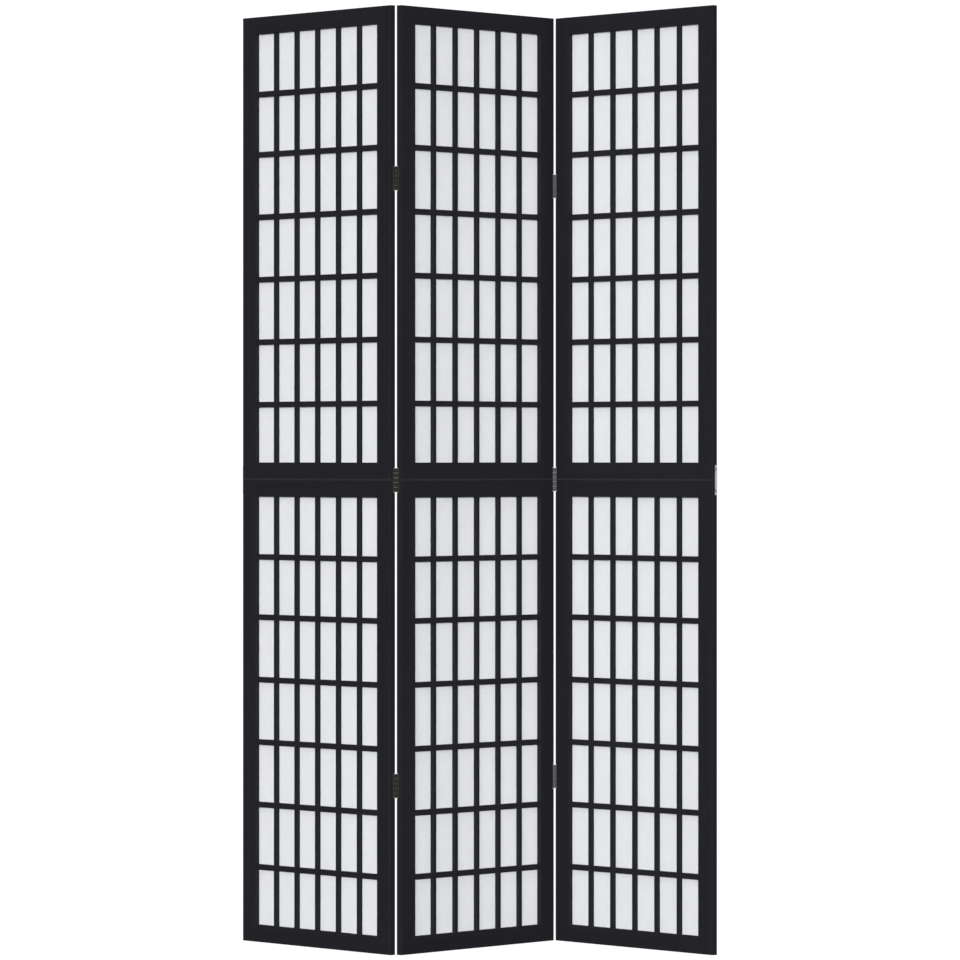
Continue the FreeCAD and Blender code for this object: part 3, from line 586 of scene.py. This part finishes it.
def makeRowTree():  # a row of the same bar, turned and brought to its panel
    tree, given, made = newTree("barRow", "Geometry", {
        "Bar": "Geometry", "Count": "Int", "First": "Vector", "Pitch": "Vector", "Last Shift": "Vector",
        "Bar Turn": "Vector", "Panel Turn": "Vector", "Panel Place": "Vector", "Seed": "Int",
        "Finish": "Material"}, {"Row": "Geometry"})
    line = addNode(tree, "GeometryNodeMeshLine", {
        "Count": given.outputs["Count"], "Start Location": given.outputs["First"],
        "Offset": given.outputs["Pitch"]}, mode="OFFSET")
    index = addNode(tree, "GeometryNodeInputIndex")
    last = calc(tree, "SUBTRACT", given.outputs["Count"], 1.0)
    isLast = addNode(tree, "FunctionNodeCompare", {0: index.outputs[0], 1: last},
                     data_type="FLOAT", operation="GREATER_EQUAL")
    placed = addNode(tree, "GeometryNodeSetPosition", {
        "Geometry": line.outputs[0], "Selection": isLast.outputs[0], "Offset": given.outputs["Last Shift"]})
    row = addNode(tree, "GeometryNodeInstanceOnPoints", {
        "Points": placed.outputs[0], "Instance": given.outputs["Bar"],
        "Rotation": given.outputs["Bar Turn"]})
    tone = addNode(tree, "FunctionNodeRandomValue", {"Seed": given.outputs["Seed"]}, data_type="FLOAT")
    marked = addNode(tree, "GeometryNodeStoreNamedAttribute", {
        "Geometry": row.outputs[0], "Name": "barTone", "Value": tone.outputs[1]},
        data_type="FLOAT", domain="INSTANCE")
    real = addNode(tree, "GeometryNodeRealizeInstances", {"Geometry": marked.outputs[0]})
    moved = addNode(tree, "GeometryNodeTransform", {
        "Geometry": real.outputs[0], "Translation": given.outputs["Panel Place"],
        "Rotation": given.outputs["Panel Turn"]})
    finished = addNode(tree, "GeometryNodeSetMaterial", {
        "Geometry": moved.outputs[0], "Material": given.outputs["Finish"]})
    setInputs(tree, made, {"Row": finished.outputs[0]})
    return tree


rowTree = makeRowTree()


def grownByNodes(name, mesh, tree, values):  # runs a tree on a mesh and keeps the plain result
    seedPiece = bpy.data.objects.new(name + "Seed", mesh)
    bpy.context.scene.collection.objects.link(seedPiece)
    modifier = seedPiece.modifiers.new("grow", "NODES")
    modifier.node_group = tree
    identifiers = {item.name: item.identifier for item in tree.interface.items_tree
                   if item.in_out == "INPUT"}
    for label, value in values.items():
        modifier[identifiers[label]] = value
    graph = bpy.context.evaluated_depsgraph_get()
    result = bpy.data.meshes.new_from_object(seedPiece.evaluated_get(graph), depsgraph=graph)
    bpy.data.objects.remove(seedPiece)
    piece = bpy.data.objects.new(name, result)
    result.name = name
    bpy.context.scene.collection.objects.link(piece)
    return piece


uprightBar = notchedBar("uprightBar", openingHeight, lattice["uprightWidth"], levelStarts(),
                        lattice["levelHeight"], True)
levelBar = notchedBar("levelBar", openingWidth, lattice["levelHeight"], uprightStarts(),
                      lattice["uprightWidth"], False)


def makeLattice(panel, half, seed):
    foot = halves[half] + screen["railHeight"]
    left = screen["stileWidth"]
    levels, across = levelStarts(), uprightStarts()
    pitch = levels[1] - levels[0]
    lastShift = levels[-1] - (levels[0] + pitch * (len(levels) - 1))
    levelRow = {
        "Count": len(levels), "First": (left, lattice["setback"], foot + levels[0]),
        "Pitch": (0.0, 0.0, pitch), "Last Shift": (0.0, 0.0, lastShift), "Bar Turn": (0.0, 0.0, 0.0),
        "Finish": acrossWood[panel]}
    # the bar lies along X in its own mesh: a turn about Y stands it up, its width then on -X
    uprightRow = {
        "Count": len(across),
        "First": (left + across[0] + lattice["uprightWidth"], lattice["setback"], foot),
        "Pitch": (across[1] - across[0], 0.0, 0.0), "Last Shift": (0.0, 0.0, 0.0),
        "Bar Turn": (0.0, -math.pi / 2, 0.0), "Finish": uprightWood[panel]}
    for kind, mesh, values in (("horizontal_bars", levelBar, levelRow),
                               ("vertical_bars", uprightBar, uprightRow)):
        values.update({"Panel Turn": (0.0, 0.0, panelTurn(panel)), "Seed": seed,
                       "Panel Place": tuple(panelMatrix(panel).to_translation())})
        node = "%s_panel_%s_%s" % (panel, half, kind)
        piece = grownByNodes("eased_" + node, mesh, rowTree, values)
        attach(piece, panel + "_panel")
        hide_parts(node)


for order, panel in enumerate(panels):
    for half in halves:
        makeLattice(panel, half, lattice["seed"] + order)
print("lattice bars made")

paper = {
    "lap": 0.0060,
    "thickness": 0.0004,
    "ledge": 0.0094,  # front of the sheet behind the front of the frame
    "cellSteps": (8, 14),
    "swell": 0.00022,  # how far a cell's middle stands back
    "ripple": 0.00010,
    "waves": (60, 22),  # how often the ripple comes across and up, to the metre
    "drift": (3.1, 7.7),  # moves the ripple from panel to panel
    "rise": (1.3, 1.6),  # how soon the swell is full beside the bars, across and up
}


def stations(start, length, bars, barSize, steps):  # grid lines with more between the bars
    edges = [start, start + paper["lap"]]
    for bar in bars:
        edges += [start + paper["lap"] + bar, start + paper["lap"] + bar + barSize]
    edges += [start + length - paper["lap"], start + length]
    lines = []
    for index, (low, high) in enumerate(zip(edges, edges[1:])):
        isCell = index % 2 == 1
        count = steps if isCell else 2
        for step in range(count):
            share = step / count
            lines.append((low + (high - low) * share, math.sin(math.pi * share) if isCell else 0.0))
    return lines + [(edges[-1], 0.0)]


def makeSheet(panel, half):
    matrix = panelMatrix(panel)
    width, height = openingWidth + 2 * paper["lap"], openingHeight + 2 * paper["lap"]
    left = screen["stileWidth"] - paper["lap"]
    foot = halves[half] + screen["railHeight"] - paper["lap"]
    across = stations(left, width, uprightStarts(), lattice["uprightWidth"], paper["cellSteps"][0])
    up = stations(foot, height, levelStarts(), lattice["levelHeight"], paper["cellSteps"][1])
    drift = Vector((paper["drift"][0] * panels[panel], paper["drift"][1], 0.0))
    grid = bmesh.new()
    rows = []
    for z, upShare in up:
        row = []
        for x, acrossShare in across:
            free = min(1.0, paper["rise"][1] * upShare) * min(1.0, paper["rise"][0] * acrossShare)
            wave = Vector((x * paper["waves"][0], 0.0, z * paper["waves"][1])) + drift
            back = free * (paper["swell"] + noise.noise(wave) * paper["ripple"])
            row.append(grid.verts.new(matrix @ Vector((x, paper["ledge"] + back, z))))
        rows.append(row)
    for low, high in zip(rows, rows[1:]):
        for a, b, c, d in zip(low, low[1:], high[1:], high):
            grid.faces.new((a, b, c, d))
    for face in grid.faces:
        face.smooth = True
    mesh = bpy.data.meshes.new("sheet")
    grid.to_mesh(mesh)
    grid.free()
    name = "%s_panel_%s_sheet" % (panel, half)
    piece = bpy.data.objects.new("stretched_" + name, mesh)
    bpy.context.scene.collection.objects.link(piece)
    mesh.materials.append(sheetMaterial)
    solid = piece.modifiers.new("thickness", "SOLIDIFY")
    solid.thickness = paper["thickness"]
    solid.offset = -1.0
    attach(piece, panel + "_panel")
    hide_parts(name)


for panel in panels:
    for half in halves:
        makeSheet(panel, half)
print("sheets made")

staples = {  # in the beads behind
    "crown": 0.0074,
    "wire": 0.00060,
    "proud": 0.00018,  # out of the bead, so flush with the back of the frame
    "count": 26,  # round one half
    "beadMiddle": 0.0034,  # from the opening's side to the middle of the bead
    "beadBack": 0.0002,  # the bead's back in front of the frame's back
    "jitter": 0.004,
    "tilt": 0.30,
    "seed": 31,
}


def oneStaple():  # a crown along X with its shoulders bent in, standing proud along Y
    half, thick, bend = staples["crown"] / 2, staples["wire"], staples["wire"] * 0.7
    # the bare numbers here are shares of the wire, the bend or the height it stands proud
    sections = [(-half, -thick), (-half, -thick * 0.2), (-half + bend * 0.35, staples["proud"] * 0.7),
                (-half + bend, staples["proud"])]
    sections += [(-x, y) for x, y in reversed(sections)]
    shape = bmesh.new()
    rings = []
    for x, y in sections:
        inward = thick if abs(x) > half - bend * 0.2 else 0.0
        under = (x - math.copysign(inward, x), y if inward else y - thick)
        ring = [shape.verts.new((x, y, side * thick * 0.32)) for side in (-1, 1)]
        ring += [shape.verts.new((x * 0.999, y - thick * 0.15, side * thick * 0.5)) for side in (1, -1)]
        ring += [shape.verts.new((under[0], under[1], side * thick * 0.5)) for side in (1, -1)]
        rings.append([ring[0], ring[1], ring[2], ring[4], ring[5], ring[3]])
    for before, after in zip(rings, rings[1:]):
        for index in range(6):
            following = (index + 1) % 6
            shape.faces.new((before[index], before[following], after[following], after[index]))
    shape.faces.new(rings[0][::-1])
    shape.faces.new(rings[-1])
    bmesh.ops.recalc_face_normals(shape, faces=shape.faces)
    mesh = bpy.data.meshes.new("staple")
    shape.to_mesh(mesh)
    shape.free()
    return mesh


def makeRingTree():  # the same small piece spaced round a rectangle, in the plane of X and Z
    tree, given, made = newTree("stapleRing", "Geometry", {
        "Staple": "Geometry", "Count": "Int", "Ring Width": "Float", "Ring Height": "Float",
        "Jitter": "Float", "Tilt": "Float", "Ring Place": "Vector", "Panel Turn": "Vector",
        "Panel Place": "Vector", "Seed": "Int", "Finish": "Material"}, {"Ring": "Geometry"})
    path = addNode(tree, "GeometryNodeCurvePrimitiveQuadrilateral", {
        "Width": given.outputs["Ring Width"], "Height": given.outputs["Ring Height"]})
    dots = addNode(tree, "GeometryNodePoints", {"Count": given.outputs["Count"]})
    index = addNode(tree, "GeometryNodeInputIndex")
    along = calc(tree, "DIVIDE", calc(tree, "ADD", index.outputs[0], 0.5), given.outputs["Count"])
    spot = addNode(tree, "GeometryNodeSampleCurve", {"Curves": path.outputs[0], "Factor": along},
                   mode="FACTOR")
    flatSpot = addNode(tree, "ShaderNodeSeparateXYZ", {0: spot.outputs["Position"]})
    upright = addNode(tree, "ShaderNodeCombineXYZ", {
        "X": flatSpot.outputs["X"], "Z": flatSpot.outputs["Y"]})
    fromMiddle = calc(tree, "ABSOLUTE", flatSpot.outputs["X"])
    side = calc(tree, "MULTIPLY", given.outputs["Ring Width"], 0.4999)  # just inside the uprights
    atSide = calc(tree, "GREATER_THAN", fromMiddle, side)  # 1 on the uprights, 0 on the cross pieces
    way = addNode(tree, "ShaderNodeCombineXYZ", {
        "X": calc(tree, "SUBTRACT", 1.0, atSide), "Z": atSide})
    spread = addNode(tree, "FunctionNodeRandomValue", {"Seed": given.outputs["Seed"]}, data_type="FLOAT")
    slip = calc(tree, "MULTIPLY", calc(tree, "SUBTRACT", spread.outputs[1], 0.5), given.outputs["Jitter"])
    slide = addNode(tree, "ShaderNodeVectorMath", {0: way.outputs[0], "Scale": slip}, operation="SCALE")
    put = vectorCalc(tree, "ADD", upright.outputs[0], slide.outputs[0])
    placed = addNode(tree, "GeometryNodeSetPosition", {"Geometry": dots.outputs[0], "Position": put})
    facing = addNode(tree, "FunctionNodeAlignRotationToVector", {"Vector": way.outputs[0]},
                     axis="X", pivot_axis="Y")
    lean = addNode(tree, "FunctionNodeRandomValue", {
        "Seed": calc(tree, "ADD", given.outputs["Seed"], 1.0)}, data_type="FLOAT")
    turned = calc(tree, "MULTIPLY", calc(tree, "SUBTRACT", lean.outputs[1], 0.5), given.outputs["Tilt"])
    leaning = addNode(tree, "ShaderNodeCombineXYZ", {"Y": turned})
    facing = addNode(tree, "FunctionNodeRotateRotation", {
        "Rotation": facing.outputs[0], "Rotate By": leaning.outputs[0]}, rotation_space="LOCAL")
    ring = addNode(tree, "GeometryNodeInstanceOnPoints", {
        "Points": placed.outputs[0], "Instance": given.outputs["Staple"], "Rotation": facing.outputs[0]})
    real = addNode(tree, "GeometryNodeRealizeInstances", {"Geometry": ring.outputs[0]})
    onPanel = addNode(tree, "GeometryNodeTransform", {
        "Geometry": real.outputs[0], "Translation": given.outputs["Ring Place"]})
    moved = addNode(tree, "GeometryNodeTransform", {
        "Geometry": onPanel.outputs[0], "Translation": given.outputs["Panel Place"],
        "Rotation": given.outputs["Panel Turn"]})
    finished = addNode(tree, "GeometryNodeSetMaterial", {
        "Geometry": moved.outputs[0], "Material": given.outputs["Finish"]})
    setInputs(tree, made, {"Ring": finished.outputs[0]})
    return tree


ringTree = makeRingTree()
stapleMesh = oneStaple()
for order, panel in enumerate(panels):
    for half, foot in halves.items():
        piece = grownByNodes("staples_%s_%s" % (panel, half), stapleMesh, ringTree, {
            "Count": staples["count"], "Ring Width": openingWidth + 2 * staples["beadMiddle"],
            "Ring Height": openingHeight + 2 * staples["beadMiddle"], "Jitter": staples["jitter"],
            "Tilt": staples["tilt"], "Seed": staples["seed"] + order * 2 + (half == "upper"),
            "Ring Place": (screen["panelWidth"] / 2, screen["thickness"] - staples["beadBack"],
                           foot + screen["halfHeight"] / 2),
            "Panel Turn": (0.0, 0.0, panelTurn(panel)),
            "Panel Place": tuple(panelMatrix(panel).to_translation()),
            "Finish": metalOf["stapleMetal"]})
        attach(piece, panel + "_panel")
print("staples set")

studio = {
    "floorRadius": 30.0,
    "mottle": 3.0,
    "floorSeen": ((0.055, 0.055, 0.055, 1), (0.065, 0.065, 0.065, 1)),  # on top of a plain white glow
    "floorLit": (0.12, 0.12, 0.12, 1),  # what it throws back onto the screen
    "backdrop": 1.06,  # what the camera sees behind the screen
    "ambient": 0.13,  # what the surroundings light it with
    "lampDistance": 6,
    "lamps": {  # heading to the left of the viewer, rise, spread (degrees) and strength
        "frontSoftbox": (0.9, 5.0, 7.0, 4.12),
        "middleSoftbox": (18.0, 17.0, 14.0, 0.50),
        "upperSoftbox": (18.0, 48.0, 16.0, 0.48),
        "leftSoftbox": (75.0, 15.0, 40.0, 0.10),
        "backSoftbox": (166.0, 30.0, 40.0, 3.8),
    },
}


def makeFloor():
    disc = bmesh.new()
    bmesh.ops.create_circle(disc, cap_ends=True, radius=studio["floorRadius"], segments=96)
    mesh = bpy.data.meshes.new("paleFloor")
    disc.to_mesh(mesh)
    disc.free()
    floor = bpy.data.objects.new("paleFloor", mesh)
    bpy.context.scene.collection.objects.link(floor)
    material, tree, shader = newMaterial("palePaint")
    place = addNode(tree, "ShaderNodeTexCoord").outputs["Object"]
    mottle = addNode(tree, "ShaderNodeTexNoise", {"Vector": place, "Scale": studio["mottle"]})
    seen = addNode(tree, "ShaderNodeLightPath").outputs["Is Camera Ray"]
    paint = mixColours(tree, mottle.outputs["Fac"], *studio["floorSeen"])
    setInputs(tree, shader, {
        "Base Color": mixColours(tree, seen, studio["floorLit"], paint), "Roughness": 0.9,
        "Specular IOR Level": 0.0, "Emission Color": (1, 1, 1, 1), "Emission Strength": seen})
    mesh.materials.append(material)


def makeSky():
    world = bpy.data.worlds.new("studioWhite")
    bpy.context.scene.world = world
    world.use_nodes = True
    tree = world.node_tree
    seen = addNode(tree, "ShaderNodeLightPath").outputs["Is Camera Ray"]
    setInputs(tree, tree.nodes["Background"], {
        "Color": (1, 1, 1, 1), "Strength": between(tree, seen, studio["ambient"], studio["backdrop"])})


def makeLamp(name, heading, rise, spread, strength):
    light = bpy.data.lights.new(name, "SUN")
    light.energy = strength
    light.angle = math.radians(spread)
    lamp = bpy.data.objects.new(name, light)
    bpy.context.scene.collection.objects.link(lamp)
    turn, lift = math.radians(heading), math.radians(rise)
    away = Vector((-math.sin(turn) * math.cos(lift), -math.cos(turn) * math.cos(lift), math.sin(lift)))
    lamp.location = Vector((0, 0, screen["halfHeight"])) + away * studio["lampDistance"]
    lamp.rotation_euler = away.to_track_quat("Z", "Y").to_euler()


makeFloor()
makeSky()
for name, setting in studio["lamps"].items():
    makeLamp(name, *setting)

viewer = {
    "place": (0.0064, -9.585, 0.8926),
    "framed": 0.8496,  # height that lies in the middle of the picture, a little under the lens
    "lens": 197.80,
    "sensor": 36.0,
}
lens = bpy.data.cameras.new("viewer")
lens.lens = viewer["lens"]
lens.sensor_width = viewer["sensor"]
lookDown = (viewer["framed"] - viewer["place"][2]) / -viewer["place"][1]
lens.shift_y = lookDown * viewer["lens"] / viewer["sensor"]  # the uprights stay parallel, as photographed
lens.clip_end = 200.0
camera = bpy.data.objects.new("viewer", lens)
bpy.context.scene.collection.objects.link(camera)
camera.location = viewer["place"]
camera.rotation_euler = (math.pi / 2, 0.0, 0.0)
bpy.context.scene.camera = camera
bpy.context.scene.view_settings.view_transform = "Standard"
print("studio set")
